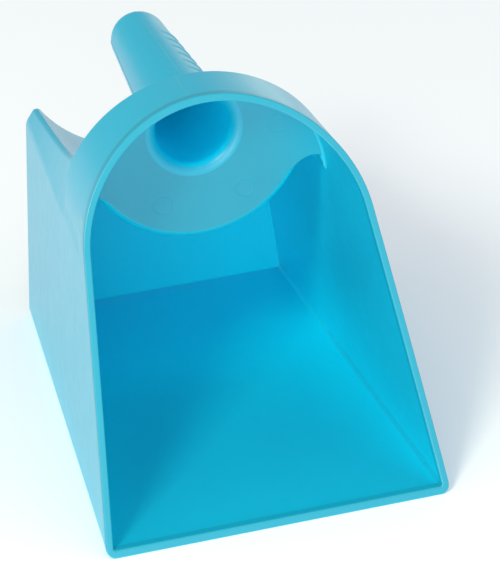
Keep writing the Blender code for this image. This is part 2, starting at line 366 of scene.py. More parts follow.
@dataclass(frozen=True)
class ScoopForm:
    """The moulding's outer form, worked out from the frame and a few slopes.

    Attributes:
        front: World Y of the front lip.
        depth: Front lip to rear wall.
        lip_half: Half the mouth's width, on the ground.
        crown_height: Height of the arch's top, at crown_depth.
        hood_rear: Depth of the hood's rear face.
        axis_height: Height of the handle's axis.
        wall: Wall thickness.
        rim_depth: How far the rim's bead runs back from the mouth's edge.
        rim_thickness: How thick the bead is.
        wall_inset: How far the walls lie inside the bead's outer face.
        corner_radius: Rounding of the bottom edges along the sides.
        crease_radius: Rounding between a side wall and its shoulder.
        ridge_radius: Rounding between a shoulder and the trough.
        end_radius: Rounding of the rear edges.
        spring_height: Where the hood's flat flanks turn into the arch.
        crease_height: Top of the side walls, at the hood's rear face.
        crown_depth: Depth at which the arch is crown_height high.
        trough_front: The trough's radius behind the plate.
        trough_rear: And at the rear wall.
        side_taper: Half width lost per metre towards the rear.
        side_lean: Half width lost per metre of height.
        crown_fall: Crown height lost per metre towards the rear.
        crease_fall: Crease height lost per metre towards the rear.
        shoulder_front_lean: The shoulder's lean behind the hood.
        shoulder_rear_lean: And at the rear wall.
        mouth_slope: How far the mouth leans back per metre of height.
        mouth_bend: Its slight backward bend, per metre squared.
    """

    front: float
    depth: float
    lip_half: float
    crown_height: float
    hood_rear: float
    axis_height: float
    wall: float
    rim_depth: float
    rim_thickness: float = 3.2 * MM
    wall_inset: float = 0.12 * MM
    corner_radius: float = 4.2 * MM
    crease_radius: float = 9.0 * MM
    ridge_radius: float = 2.5 * MM
    end_radius: float = 1.2 * MM
    spring_height: float = 117.0 * MM
    crease_height: float = 108.5 * MM
    crown_depth: float = 83.9 * MM
    trough_front: float = 50.1 * MM
    trough_rear: float = 58.5 * MM
    side_taper: float = 0.0526
    side_lean: float = 0.085
    crown_fall: float = 0.0656
    crease_fall: float = 0.046
    shoulder_front_lean: float = 0.32
    shoulder_rear_lean: float = 0.75
    mouth_slope: float = 0.4394
    mouth_bend: float = 0.342

    @classmethod
    def from_frame(cls) -> ScoopForm:
        """Read the driving sizes off the frame's boxes.

        Returns:
            The form, sized to the frame.
        """
        low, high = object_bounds()
        rim_low, rim_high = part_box("mouth_rim")
        lip_low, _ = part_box("front_lip")
        _, hood_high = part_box("hood_band")
        grip_low, grip_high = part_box("handle_grip")
        _, floor_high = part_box("floor_panel")
        corner = cls.corner_radius
        lost = cls.side_lean * corner + cls.side_taper * cls.mouth_slope * corner
        return cls(
            front=low.y,
            depth=high.y - low.y,
            lip_half=rim_high.x + lost,
            crown_height=high.z,
            hood_rear=hood_high.y - low.y,
            axis_height=(grip_low.z + grip_high.z) / 2,
            wall=floor_high.z,
            rim_depth=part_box("floor_panel")[0].y - lip_low.y - 0.3 * MM,
        )

    def base_half(self, y: float) -> float:
        """Half the width that the side walls would have on the ground, at a depth."""
        return self.lip_half - self.side_taper * y

    def crown(self, y: float) -> float:
        """Height of the arch's top at a depth."""
        return self.crown_height - self.crown_fall * (y - self.crown_depth)

    def crease(self, y: float) -> float:
        """Height of the crease above a side wall, at a depth."""
        return self.crease_height - self.crease_fall * (y - self.hood_rear)

    def mouth(self, z: float) -> float:
        """Depth of the mouth's edge at a height."""
        return self.mouth_slope * z + self.mouth_bend * z * z

    def behind_hood(self, y: float) -> float:
        """Share of the way from the hood to the rear wall."""
        return max(0.0, (y - self.hood_rear) / (self.depth - self.hood_rear))

    def trough_radius(self, y: float) -> float:
        """Radius of the trough's upper face about the handle's axis."""
        return mix(self.trough_front, self.trough_rear, self.behind_hood(y))

    @property
    def side_angle(self) -> float:
        """Angle of a side wall's normal above the horizontal."""
        return math.atan(self.side_lean)

    def shoulder_angle(self, y: float) -> float:
        """Angle of a shoulder's normal above the horizontal."""
        lean = mix(self.shoulder_front_lean, self.shoulder_rear_lean, self.behind_hood(y))
        return math.atan(lean)

    def crease_centre(self, y: float) -> Vector:
        """Centre of the arc that rounds the crease, on the right.

        Args:
            y: Depth of the section.

        Returns:
            The centre.
        """
        z = self.crease(y)
        corner = Vector((self.base_half(y) - self.side_lean * z, 0.0, z))
        lower, upper = heading(self.side_angle), heading(self.shoulder_angle(y))
        return corner - self.crease_radius * (lower + upper) / (1.0 + lower.dot(upper))

    def crease_start(self, y: float) -> float:
        """Height at which the flat side wall ends and the crease's arc starts."""
        return (self.crease_centre(y) + self.crease_radius * heading(self.side_angle)).z

    def ridge_centre(self, y: float, depth: float) -> Vector:
        """The point that lies a given depth inside both a shoulder and the trough.

        Args:
            y: Depth of the section.
            depth: Distance inside both faces.

        Returns:
            The point.
        """
        normal = heading(self.shoulder_angle(y))
        along = Vector((-normal.z, 0.0, normal.x))
        start = self.crease_centre(y) + (self.crease_radius - depth) * normal
        reach = self.trough_radius(y) + depth
        offset = start - Vector((0.0, 0.0, self.axis_height))
        half_b = offset.dot(along)
        square = half_b * half_b - offset.length_squared + reach * reach
        return start + (-half_b - math.sqrt(max(0.0, square))) * along

    def floor_edge(self, y: float) -> float:
        """Half the width of the flat floor between its rounded corners."""
        slant = math.hypot(1.0, self.side_lean)
        return self.base_half(y) - self.corner_radius * (self.side_lean + slant)

    def place(self, station: Station, y: float, inset: float) -> Vector:
        """A point of the section.

        Args:
            station: Where on the section.
            y: Depth of the section.
            inset: Distance in from the rim's outer face.

        Returns:
            The point.
        """
        point = getattr(self, f"_{station.part}")(station.share, y, inset)
        return Vector((-point.x if station.hand < 0 else point.x, y, point.z))

    def _floor(self, share: float, y: float, inset: float) -> Vector:
        """A point of the flat floor, from the left corner to the right one."""
        edge = self.floor_edge(y)
        return Vector((mix(-edge, edge, share), 0.0, inset))

    def _corner(self, share: float, y: float, inset: float) -> Vector:
        """A point of a rounded bottom corner, from the floor up."""
        normal = heading(mix(-math.pi / 2, self.side_angle, share))
        centre = Vector((self.floor_edge(y), 0.0, self.corner_radius))
        return centre + (self.corner_radius - inset) * normal

    def _side(self, share: float, y: float, inset: float) -> Vector:
        """A point of a flat side wall, from its corner to its crease."""
        low = self.corner_radius * (1.0 + math.sin(self.side_angle))
        return self._flat(mix(low, self.crease_start(y), share), y, inset)

    def _upper(self, share: float, y: float, inset: float) -> Vector:
        """A point of the hood's flat flank, from the crease to the arch."""
        return self._flat(mix(self.crease_start(y), self.spring_height, share), y, inset)

    def _flat(self, z: float, y: float, inset: float) -> Vector:
        """A point of the leaning side plane, at a height."""
        point = Vector((self.base_half(y) - self.side_lean * z, 0.0, z))
        return point - inset * heading(self.side_angle)

    def _arch(self, share: float, y: float, inset: float) -> Vector:
        """A point of the elliptical arch, from its left spring over to its right.

        Args:
            share: How far along the part, from 0 to 1.
            y: Depth of the section.
            inset: Distance in from the rim's outer face.

        Returns:
            The point.
        """

        def at(angle: float) -> Vector:
            z = self.spring_height + (self.crown(y) - self.spring_height) * math.sin(angle)
            return Vector((-(self.base_half(y) - self.side_lean * z) * math.cos(angle), 0.0, z))

        angle = math.pi * share
        along = (at(angle + 1e-4) - at(angle - 1e-4)).normalized()
        return at(angle) - inset * Vector((-along.z, 0.0, along.x))

    def _crease(self, share: float, y: float, inset: float) -> Vector:
        """A point of the arc between a side wall and its shoulder."""
        normal = heading(mix(self.side_angle, self.shoulder_angle(y), share))
        return self.crease_centre(y) + (self.crease_radius - inset) * normal

    def _shoulder(self, share: float, y: float, inset: float) -> Vector:
        """A point of a shoulder's flat, from the crease to the ridge."""
        return self._crease(1.0, y, inset).lerp(self._ridge(0.0, y, inset), share)

    def _ridge(self, share: float, y: float, inset: float) -> Vector:
        """A point of a shoulder's rounded ridge, from outside to the trough.

        Args:
            share: How far along the part, from 0 to 1.
            y: Depth of the section.
            inset: Distance in from the rim's outer face.

        Returns:
            The point.
        """
        depth = max(self.ridge_radius, inset)
        centre = self.ridge_centre(y, depth)
        to_axis = math.atan2(self.axis_height - centre.z, -centre.x)
        return centre + (depth - inset) * heading(mix(self.shoulder_angle(y), to_axis, share))

    def _trough(self, share: float, y: float, inset: float) -> Vector:
        """A point of the trough's upper face, from its right ridge to its left."""
        centre = self.ridge_centre(y, max(self.ridge_radius, inset))
        half = math.atan2(centre.x, self.axis_height - centre.z)
        return self.about_axis(mix(half, -half, share), self.trough_radius(y) + inset)

    def about_axis(self, angle: float, radius: float, y: float = 0.0) -> Vector:
        """A point on a circle round the handle's axis, the angle from straight down."""
        x, z = radius * math.sin(angle), self.axis_height - radius * math.cos(angle)
        return Vector((x, y, z))

    def edge_reach(self, inner: bool) -> float:
        """How far before the rear wall's outer face a wall's face starts to turn."""
        return max(self.end_radius, self.wall) if inner else self.end_radius

    def set_in(self, station: Station) -> float:
        """How far the plain wall lies inside the rim's outer face."""
        shares = {"floor": 0.0, "corner": station.share}
        return self.wall_inset * shares.get(station.part, 1.0)

    def at_mouth(self, station: Station, back: float, inset: float) -> Vector:
        """A point measured from the rim's outer edge.

        Args:
            station: Where on the section.
            back: Distance behind the mouth's edge.
            inset: Distance in from the rim's outer face.

        Returns:
            The point.
        """
        point = Vector()
        for _ in range(14):
            point = self.place(station, self.mouth(point.z) + back, inset)
        return point


# ---------------------------------------------------------------- meshes into pieces


@dataclass
class Workshop:
    """Turns grids of points into finished, named pieces.

    Attributes:
        form: The moulding's outer form.
        finishes: The material for each mould face.
    """

    form: ScoopForm
    finishes: dict[MouldFace, bpy.types.Material]

    def piece(
        self,
        name: str,
        data: bmesh.types.BMesh,
        face: MouldFace,
        stands_for: Iterable[str] = (),
        sharp_degrees: float = 35.0,
    ) -> bpy.types.Object:
        """Close off a bmesh as a named piece that rides on the frame.

        Args:
            name: The piece's name.
            data: Its mesh, in scoop coordinates; it is freed.
            face: The mould face whose finish it takes.
            stands_for: The frame's nodes that it replaces.
            sharp_degrees: Edges sharper than this stay crisp.

        Returns:
            The new object.
        """
        bmesh.ops.remove_doubles(data, verts=data.verts, dist=0.002 * MM)
        bmesh.ops.recalc_face_normals(data, faces=data.faces)
        bmesh.ops.translate(data, verts=data.verts, vec=(0.0, self.form.front, 0.0))
        mesh = bpy.data.meshes.new(name)
        data.to_mesh(mesh)
        data.free()
        mesh.shade_smooth()
        mesh.set_sharp_from_angle(angle=math.radians(sharp_degrees))
        item = bpy.data.objects.new(name, mesh)
        bpy.context.scene.collection.objects.link(item)
        mesh.materials.append(self.finishes[face])
        weigh = item.modifiers.new("even_shading", "WEIGHTED_NORMAL")
        weigh.keep_sharp = True
        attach(item, "root")
        nodes = tuple(stands_for)
        if nodes:
            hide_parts(*nodes)
        log.info("%s: %d faces", name, len(mesh.polygons))
        return item

    def slab(self, outer: Grid, inner: Grid) -> bmesh.types.BMesh:
        """A closed sheet between two matching grids, each a list of rows.

        Args:
            outer: The outer grid.
            inner: The inner grid.

        Returns:
            The sheet's mesh.
        """
        data = bmesh.new()
        skins = [[[data.verts.new(p) for p in row] for row in grid] for grid in (outer, inner)]
        rows, columns = len(outer) - 1, len(outer[0]) - 1
        for grid in skins:
            for i in range(rows):
                for j in range(columns):
                    data.faces.new((grid[i][j], grid[i + 1][j], grid[i + 1][j + 1], grid[i][j + 1]))
        edge = [(i, 0) for i in range(rows)] + [(rows, j) for j in range(columns)]
        edge += [(i, columns) for i in range(rows, 0, -1)] + [(0, j) for j in range(columns, 0, -1)]
        for (a, b), (c, d) in zip(edge, edge[1:] + edge[:1]):
            data.faces.new((skins[0][a][b], skins[0][c][d], skins[1][c][d], skins[1][a][b]))
        return data

    def tube(self, rings: Grid, looped: bool = False) -> bmesh.types.BMesh:
        """A closed body through matching rings, capped at its ends unless it is looped.

        Args:
            rings: The rings, in order.
            looped: Whether the last ring joins the first.

        Returns:
            The body's mesh.
        """
        data = bmesh.new()
        loops = [[data.verts.new(p) for p in ring] for ring in rings]
        for near, far in zip(loops, loops[1:]):
            join_loops(data, near, far)
        if looped:
            join_loops(data, loops[-1], loops[0])
        else:
            data.faces.new(loops[0])
            data.faces.new(loops[-1])
        return data

    def turned(self, profile: Sequence[tuple[float, float]], count: int) -> bmesh.types.BMesh:
        """Turn a closed profile of (depth, radius) points about the handle's axis.

        Args:
            profile: Depth and radius of each point, in order round the profile.
            count: How many facets it has round the axis.

        Returns:
            The turned body's mesh.
        """
        rings = []
        for k in range(count):
            angle = 2 * math.pi * k / count
            out = Vector((math.sin(angle), 0.0, math.cos(angle)))
            axis = Vector((0.0, 0.0, self.form.axis_height))
            rings.append([axis + Vector((0.0, y, 0.0)) + r * out for y, r in profile])
        return self.tube(rings, looped=True)

    def ridge_along(
        self,
        path: Sequence[tuple[Vector, Vector]],
        width: float,
        height: Callable[[float], float],
        looped: bool = False,
    ) -> bmesh.types.BMesh:
        """A low rounded ridge that follows a line on a surface.

        Args:
            path: Points of the line, each with the surface's normal.
            width: The ridge's width.
            height: Its height as a function of the share along the line.
            looped: Whether the line closes on itself.

        Returns:
            The ridge's mesh, rooted just under the surface.
        """
        last = len(path) - 1
        rings = []
        for k, (point, normal) in enumerate(path):
            ahead = path[(k + 1) % len(path) if looped else min(k + 1, last)][0]
            behind = path[k - 1 if looped else max(k - 1, 0)][0]
            across = (ahead - behind).cross(normal).normalized() * (width / 2)
            rise = height(k / last) * normal
            root = -0.15 * MM * normal
            ring = [point - across + root]
            for turn in steps(6):
                angle = math.pi * turn
                ring.append(point - math.cos(angle) * across + math.sin(angle) * rise)
            ring.append(point + across + root)
            rings.append(ring)
        return self.tube(rings, looped)


def stations(part: str, hand: int, count: int, lead: float = 0.0) -> list[Station]:
    """Stations along one part of the section, in rising order."""
    return [Station(part, hand, share) for share in steps(count, lead)]


def mirrored(path: Sequence[Station]) -> list[Station]:
    """The same stations on the left, in falling order, for a path that runs on to the right."""
    return [Station(s.part, -1, s.share) for s in reversed(path)]


# ---------------------------------------------------------------- the mouth


@dataclass
class Mouth:
    """The bead round the mouth: a straight scraping lip, and the rim over the arch.

    Attributes:
        shop: Where the pieces are made.
        edge: Rounding of the bead's two front edges.
        heel: Rounding where the bead steps down to the walls.
    """

    shop: Workshop
    edge: float = 0.65 * MM
    heel: float = 0.35 * MM

    def section(self) -> list[tuple[float, float]]:
        """The bead's outline, as distances behind the mouth and in from its face.

        Returns:
            The outline, in order round the bead.
        """
        form = self.shop.form
        deep, thick = form.rim_depth, form.rim_thickness
        corners = (
            (self.edge, self.edge, self.edge, math.pi),
            (deep - self.heel, self.heel, self.heel, -math.pi / 2),
            (deep - self.heel, thick - self.heel, self.heel, 0.0),
            (self.edge, thick - self.edge, self.edge, math.pi / 2),
        )
        outline = []
        for back, inset, radius, start in corners:
            for share in steps(5, LEAD):
                turn = start + share * math.pi / 2
                outline.append((back + radius * math.cos(turn), inset + radius * math.sin(turn)))
        return outline

    def bead(self, path: Sequence[Station]) -> bmesh.types.BMesh:
        """The bead's body along a run of stations."""
        outline = self.section()
        rings = [[self.shop.form.at_mouth(s, *place) for place in outline] for s in path]
        return self.shop.tube(rings)

    def build(self) -> list[bpy.types.Object]:
        """Make the lip and the rim.

        Returns:
            The pieces.
        """
        rise = (
            stations("corner", 1, CORNER_STEPS, LEAD),
            stations("side", 1, SIDE_STEPS),
            stations("upper", 1, 3),
        )
        right = [station for run in rise for station in run[:-1]]
        left = [Station(s.part, -1, s.share) for s in right]
        loop = left + stations("arch", 0, ARCH_STEPS) + right[::-1]
        lip = stations("floor", 0, FLOOR_STEPS)
        return [
            self.shop.piece(name, self.bead(path), MouldFace.SHADED_FRONT, [name])
            for name, path in (("front_lip", lip), ("mouth_rim", loop))
        ]


# ---------------------------------------------------------------- the open box


@dataclass
class Pan:
    """The floor, the two side walls and the rear wall, with their rounded rear edges.

    Attributes:
        shop: Where the pieces are made.
        tuck: How far the walls run on into the rim's bead.
    """

    shop: Workshop
    tuck: float = 1.0 * MM

    def line(self, station: Station, inner: bool) -> list[Vector]:
        """One face's points along the scoop, from inside the rim to the rear wall.

        Args:
            station: Where on the section.
            inner: Whether it is the inner face and not the outer one.

        Returns:
            The points, from the mouth's side to the rear.
        """
        form = self.shop.form
        inset = form.set_in(station) + (form.wall if inner else 0.0)
        front = form.at_mouth(station, form.rim_depth - self.tuck, inset).y
        turn = form.depth - form.edge_reach(inner)
        depths = [mix(front, form.hood_rear, share) for share in steps(HOOD_STEPS)]
        depths += [mix(form.hood_rear, turn, share) for share in steps(PAN_STEPS)[1:]]
        points = [form.place(station, y, inset) for y in depths]
        return points + self.rear_edge(station, inner)

    def rear_edge(self, station: Station, inner: bool) -> list[Vector]:
        """One face's points round the rear edge.

        Args:
            station: Where on the section.
            inner: Whether it is the inner face and not the outer one.

        Returns:
            The points, from the start of the turn to the rear wall.
        """
        form = self.shop.form
        reach = form.edge_reach(inner)
        radius = max(0.0, form.end_radius - form.wall) if inner else form.end_radius
        points = []
        for turn in quarter()[1:]:
            y = form.depth - reach + radius * math.sin(turn)
            inset = form.set_in(station) + reach - radius * math.cos(turn)
            points.append(form.place(station, y, inset))
        return points

    def sheet(self, path: Sequence[Station]) -> bmesh.types.BMesh:
        """A wall along a run of stations."""
        return self.shop.slab(*([self.line(s, inner) for s in path] for inner in (False, True)))

    def rear_outlines(self) -> list[list[Vector]]:
        """The flat rear wall's outline on its inner and its outer face.

        Returns:
            The inner outline, then the outer one.
        """
        form = self.shop.form
        parts = {
            "corner": CORNER_STEPS,
            "side": SIDE_STEPS,
            "crease": 6,
            "shoulder": 4,
            "ridge": 5,
        }
        right = [s for part, count in parts.items() for s in stations(part, 1, count)]
        left = mirrored(right)
        loop = stations("floor", 0, FLOOR_STEPS) + right + stations("trough", 0, 64) + left
        outlines = []
        for inner in (True, False):
            y = form.depth - (form.wall if inner else 0.0)
            reach = form.edge_reach(inner)
            points: list[Vector] = []
            for station in loop:
                point = form.place(station, y, form.set_in(station) + reach)
                if not points or (point - points[-1]).length > 0.01 * MM:
                    points.append(point)
            outlines.append(points[:-1])
        return outlines

    def build(self) -> list[bpy.types.Object]:
        """Make the floor, the side walls and the rear wall.

        Returns:
            The pieces.
        """
        make = self.shop.piece
        corner = stations("corner", 1, CORNER_STEPS, LEAD)
        bottom = mirrored(corner)[:-1] + stations("floor", 0, FLOOR_STEPS) + corner[1:]
        pieces = [make("floor_panel", self.sheet(bottom), MouldFace.SHELL, ["floor_panel"])]
        for name, hand in (("left_side_wall", -1), ("right_side_wall", 1)):
            wall = self.sheet(stations("side", hand, SIDE_STEPS))
            pieces.append(make(name, wall, MouldFace.SHELL, [name]))
        rear = self.shop.tube(self.rear_outlines())
        pieces.append(make("rear_wall", rear, MouldFace.SHELL, ["rear_wall"]))
        return pieces


# ---------------------------------------------------------------- the hood


@dataclass
class Hood:
    """The arched band behind the mouth, and the upright plate that closes it.

    The two mould halves part along the band's flanks, a little above the springing, and
    leave a fine step there that dies out before the rim.

    Attributes:
        shop: Where the pieces are made.
        parting: Share of the arch at which the mould parts.
        step_low: How deep the band's face lies below the parting step.
        step_high: How deep it lies above it.
        groove: Depth of the witness line at the foot of the step.
        parting_width: Share of the arch over which the step rises.
        groove_width: Share of the arch that the witness line takes, to one side.
        fade_height: Height at which the mouth's depth sets where the step dies out.
        fade_start: How far behind the bead, at that height, the step starts.
        fade_length: Distance over which it grows to its full depth.
        tuck: How far the band runs on into the rim's bead.
        rear_round: Rounding of the band's rear edge.
        seat: Radius of the round seat that the handle's mouth fills.
        root_round: Radius of the fillet between the plate and the band.
        lower_round: Rounding of the plate's lower edge into the trough.
        pocket_foot: Height at which the plate's lower edge turns up beside the trough.
        pocket_rise: Height of the pocket's top above that.
        pocket_turn: How far through its curve the pocket meets the side.
        crown_parting: Share of the arch at which the band's parting line crosses it.
    """

    shop: Workshop
    parting: float = 0.0703
    step_low: float = 0.85 * MM
    step_high: float = 0.10 * MM
    groove: float = 0.60 * MM
    parting_width: float = 0.0030
    groove_width: float = 0.0022
    fade_height: float = 130.0 * MM
    fade_start: float = 1.0 * MM
    fade_length: float = 8.0 * MM
    tuck: float = 1.0 * MM
    rear_round: float = 1.4 * MM
    seat: float = 22.2 * MM
    root_round: float = 1.6 * MM
    lower_round: float = 3.0 * MM
    pocket_foot: float = 110.5 * MM
    pocket_rise: float = 8.0 * MM
    pocket_turn: float = 0.72 * math.pi
    crown_parting: float = 0.462

    def face_inset(self, station: Station, y: float) -> float:
        """How deep the band's outer face lies at a station and depth.

        Args:
            station: Where on the section.
            y: Depth of the section.

        Returns:
            The distance in from the rim's outer face.
        """
        form = self.shop.form
        start = form.mouth(self.fade_height) + form.rim_depth + self.fade_start
        fade = smooth((y - start) / self.fade_length)
        if station.part == "upper":
            return mix(form.wall_inset, self.step_low, fade * smooth(station.share))
        up = min(station.share, 1.0 - station.share)
        low = mix(form.wall_inset, self.step_low, fade)
        high = mix(form.wall_inset, self.step_high, fade)
        above = up - self.parting
        line = self.groove * fade * math.exp(-((above / self.groove_width) ** 2))
        return mix(low, high, smooth(above / self.parting_width)) + line

    def line(self, station: Station, inner: bool) -> list[Vector]:
        """One face's points along the band.

        Args:
            station: Where on the section.
            inner: Whether it is the inner face and not the outer one.

        Returns:
            The points, from the mouth's side to the rear.
        """
        form = self.shop.form
        deep = form.wall_inset + form.wall
        inset = deep if inner else form.wall_inset
        start = form.at_mouth(station, form.rim_depth - self.tuck, inset)
        lift = smooth(station.share * 1.1) if station.part == "upper" else 1.0
        radius = max(0.02 * MM, self.rear_round * lift)
        depths = [mix(start.y, form.hood_rear - radius, share) for share in steps(HOOD_STEPS)]
        insets = [0.0] * len(depths)
        for turn in quarter()[1:]:
            depths.append(form.hood_rear - radius * (1.0 - math.sin(turn)))
            insets.append(radius * (1.0 - math.cos(turn)))
        if inner:
            return [form.place(station, y, deep) for y in depths]
        return [
            form.place(station, y, self.face_inset(station, y) + extra)
            for y, extra in zip(depths, insets)
        ]

    def band(self) -> bmesh.types.BMesh:
        """The band's body.

        Returns:
            The band's mesh.
        """
        close = [self.parting + 0.0110 * (share - 0.5) for share in steps(26)]
        shares = sorted(steps(ARCH_STEPS) + close + [1.0 - share for share in close])
        flank = stations("upper", 1, 8)[:-1]
        path = [Station("upper", -1, s.share) for s in flank]
        path += [Station("arch", 0, share) for share in shares] + flank[::-1]
        return self.shop.slab(*([self.line(s, inner) for s in path] for inner in (False, True)))

    def outline(self, y: float) -> list[Vector]:
        """The plate's outline: trough edge, pocket, band, and the other pocket.

        Args:
            y: Depth of the face.

        Returns:
            The outline, in order.
        """
        form = self.shop.form
        radius = form.trough_front + form.wall_inset + form.wall - self.lower_round
        reach = math.acos((form.axis_height - self.pocket_foot) / radius)
        lower = [form.about_axis(mix(-reach, reach, share), radius, y) for share in steps(64)]
        deep = form.wall_inset + form.wall
        arch = [form.place(s, y, deep) for s in reversed(stations("arch", 0, ARCH_STEPS))]
        end = self.pocket_foot + self.pocket_rise * math.sin(self.pocket_turn)
        near, far = lower[-1].x, arch[0].x + form.side_lean * (arch[0].z - end)
        pocket = []
        for share in steps(20)[1:]:
            rise = self.pocket_rise * math.sin(self.pocket_turn * share)
            pocket.append(Vector((mix(near, far, share), y, self.pocket_foot + rise)))
        mirrored = [Vector((-p.x, y, p.z)) for p in reversed(pocket)]
        return lower + pocket + arch + mirrored

    def plate(self) -> bmesh.types.BMesh:
        """The plate's body, with the handle's round seat through it.

        Returns:
            The plate's mesh.
        """
        form = self.shop.form
        seat = [2 * math.pi * k / 96 for k in range(96)]
        data = bmesh.new()
        faces = []
        for y in (form.hood_rear - form.wall, form.hood_rear):
            loops = [self.outline(y), [form.about_axis(a, self.seat, y) for a in seat]]
            verts = [[data.verts.new(p) for p in loop] for loop in loops]
            flat = verts[0] + verts[1]
            for triple in tessellate_polygon(loops):
                data.faces.new([flat[k] for k in triple])
            faces.append(verts)
        for near, far in zip(*faces):
            join_loops(data, near, far)
        return data

    def root(self) -> bmesh.types.BMesh:
        """The soft fillet inside the hood where the plate runs into the band.

        Returns:
            The fillet's mesh.
        """
        form = self.shop.form
        deep, face = form.wall_inset + form.wall, form.hood_rear - form.wall
        section = [(-0.3 * MM, -0.3 * MM)]
        for turn in quarter():
            forward = self.root_round * (1.0 - math.sin(turn))
            section.append((forward, self.root_round * (1.0 - math.cos(turn))))
        path = stations("arch", 0, ARCH_STEPS)
        flank = [Station("upper", 1, share) for share in (0.45, 0.6, 0.8)]
        path = [Station("upper", -1, s.share) for s in flank] + path + flank[::-1]
        rings = [[form.place(s, face - f, deep + i) for f, i in section] for s in path]
        return self.shop.tube(rings)

    def build(self) -> list[bpy.types.Object]:
        """Make the band, the plate and the fillet between them.

        Returns:
            The pieces.
        """
        make = self.shop.piece
        return [
            make("hood_band", self.band(), MouldFace.SHELL, ["hood_band"], EDGE_CREASE),
            make("handle_plate", self.plate(), MouldFace.SHADED_FRONT, ["handle_plate"]),
            make("plate_root_fillet", self.root(), MouldFace.SHELL),
            make("band_parting_line", self.crown_line(), MouldFace.SHELL),
        ]

    def crown_line(self) -> bmesh.types.BMesh:
        """The fine parting line across the band, just left of its crown.

        Returns:
            The line's mesh.
        """
        form = self.shop.form
        station = Station("arch", 0, self.crown_parting)
        front = form.at_mouth(station, form.rim_depth, 0.0).y
        path = []
        for share in steps(12):
            y = mix(front, form.hood_rear - self.rear_round, share)
            point = form.place(station, y, self.face_inset(station, y))
            path.append((point, (point - form.place(station, y, form.wall)).normalized()))
        return self.shop.ridge_along(path, 0.6 * MM, lambda share: 0.10 * MM)


# ---------------------------------------------------------------- trough and shoulders


@dataclass
class KnuckleRoom:
    """The conical trough under the handle, and the shoulder on each side of it.

    Attributes:
        shop: Where the pieces are made.
        pan: The walls whose rear edge the trough and shoulders carry on.
        lower_round: Rounding of the step from the trough up to the plate.
    """

    shop: Workshop
    pan: Pan
    lower_round: float = 3.0 * MM

    def depths(self, inner: bool) -> list[float]:
        """Depths along one face, from behind the plate to the rear edge's rounding."""
        form = self.shop.form
        turn = form.depth - form.edge_reach(inner)
        return [mix(form.hood_rear, turn, share) for share in steps(PAN_STEPS)]

    def shoulder_line(self, station: Station, inner: bool) -> list[Vector]:
        """One face's points along a shoulder.

        Args:
            station: Where on the section.
            inner: Whether it is the inner face and not the outer one.

        Returns:
            The points, from the plate to the rear wall.
        """
        form = self.shop.form
        inset = form.set_in(station) + (form.wall if inner else 0.0)
        points = [form.place(station, y, inset) for y in self.depths(inner)]
        return points + self.pan.rear_edge(station, inner)

    def trough_line(self, station: Station, inner: bool) -> list[Vector]:
        """One face's points along the trough, with the rounded step up to the plate.

        Args:
            station: Where on the section.
            inner: Whether it is the inner face and not the outer one.

        Returns:
            The points, from the plate to the rear wall.
        """
        form = self.shop.form
        inset = form.set_in(station) + (form.wall if inner else 0.0)
        front = form.hood_rear - (form.wall - 0.02 * MM if inner else 0.0)
        points = []
        for turn in quarter():
            back = self.lower_round * (1.0 - math.cos(turn)) if inner else 0.0
            rise = self.lower_round * (1.0 - math.sin(turn))
            if not inner:
                rise = max(0.0, rise - form.wall) if turn == 0.0 else 0.0
            points.append(form.place(station, front + back, inset - rise))
        points += [form.place(station, y, inset) for y in self.depths(inner)[1:]]
        return points + self.pan.rear_edge(station, inner)

    def build(self) -> list[bpy.types.Object]:
        """Make the trough and both shoulders.

        Returns:
            The pieces.
        """
        path = stations("trough", 0, 72)
        trough = [[self.trough_line(s, inner) for s in path] for inner in (False, True)]
        make = self.shop.piece
        pieces = [
            make("knuckle_trough", self.shop.slab(*trough), MouldFace.SHELL, ["knuckle_trough"])
        ]
        for name, hand in (("left_shoulder", -1), ("right_shoulder", 1)):
            runs = (("crease", 8), ("shoulder", 6), ("ridge", 8))
            path = [s for part, count in runs for s in stations(part, hand, count, LEAD)]
            skins = [[self.shoulder_line(s, inner) for s in path] for inner in (False, True)]
            pieces.append(make(name, self.shop.slab(*skins), MouldFace.SHELL, [name], EDGE_CREASE))
        return pieces


# ---------------------------------------------------------------- the handle


